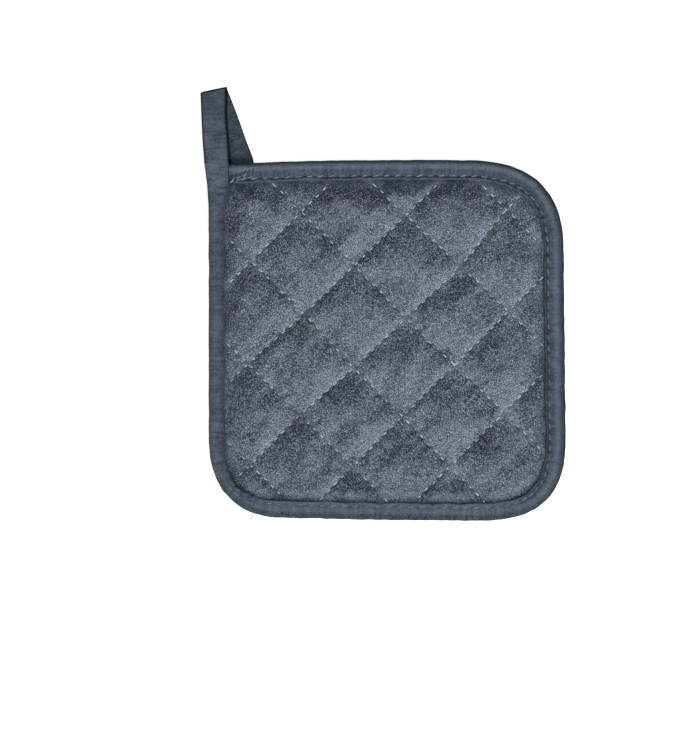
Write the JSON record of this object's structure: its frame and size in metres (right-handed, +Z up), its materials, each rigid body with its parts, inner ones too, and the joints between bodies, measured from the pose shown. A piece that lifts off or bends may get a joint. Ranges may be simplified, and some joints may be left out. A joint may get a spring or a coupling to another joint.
{
  "type": "pot holder",
  "caption": "Square quilted cloth pad with a bound edge and a corner hanging loop, terry on one face and silver-coated cloth on the other, for holding hot pans.",
  "frame": {"origin": "bottom centre of the holder's bounding box, pad and loop together, on the surface it lies on", "axes": "+Z up out of the terry face, +Y along the pad towards the loop's fold, +X to the right as the terry face is seen with the loop at its top left"},
  "size_m": [0.1822, 0.2156, 0.0085],
  "materials": {
    "terry": "short cotton terry, slightly crushed",
    "silver_cloth": "silver-coated plain weave, satin",
    "binding_tape": "matt plain-weave cotton tape"
  },
  "bodies": {
    "root": {"terry_face": "terry", "silver_back": "silver_cloth", "edge_binding": "binding_tape", "hanging_loop": "binding_tape"}
  },
  "joints": []
}
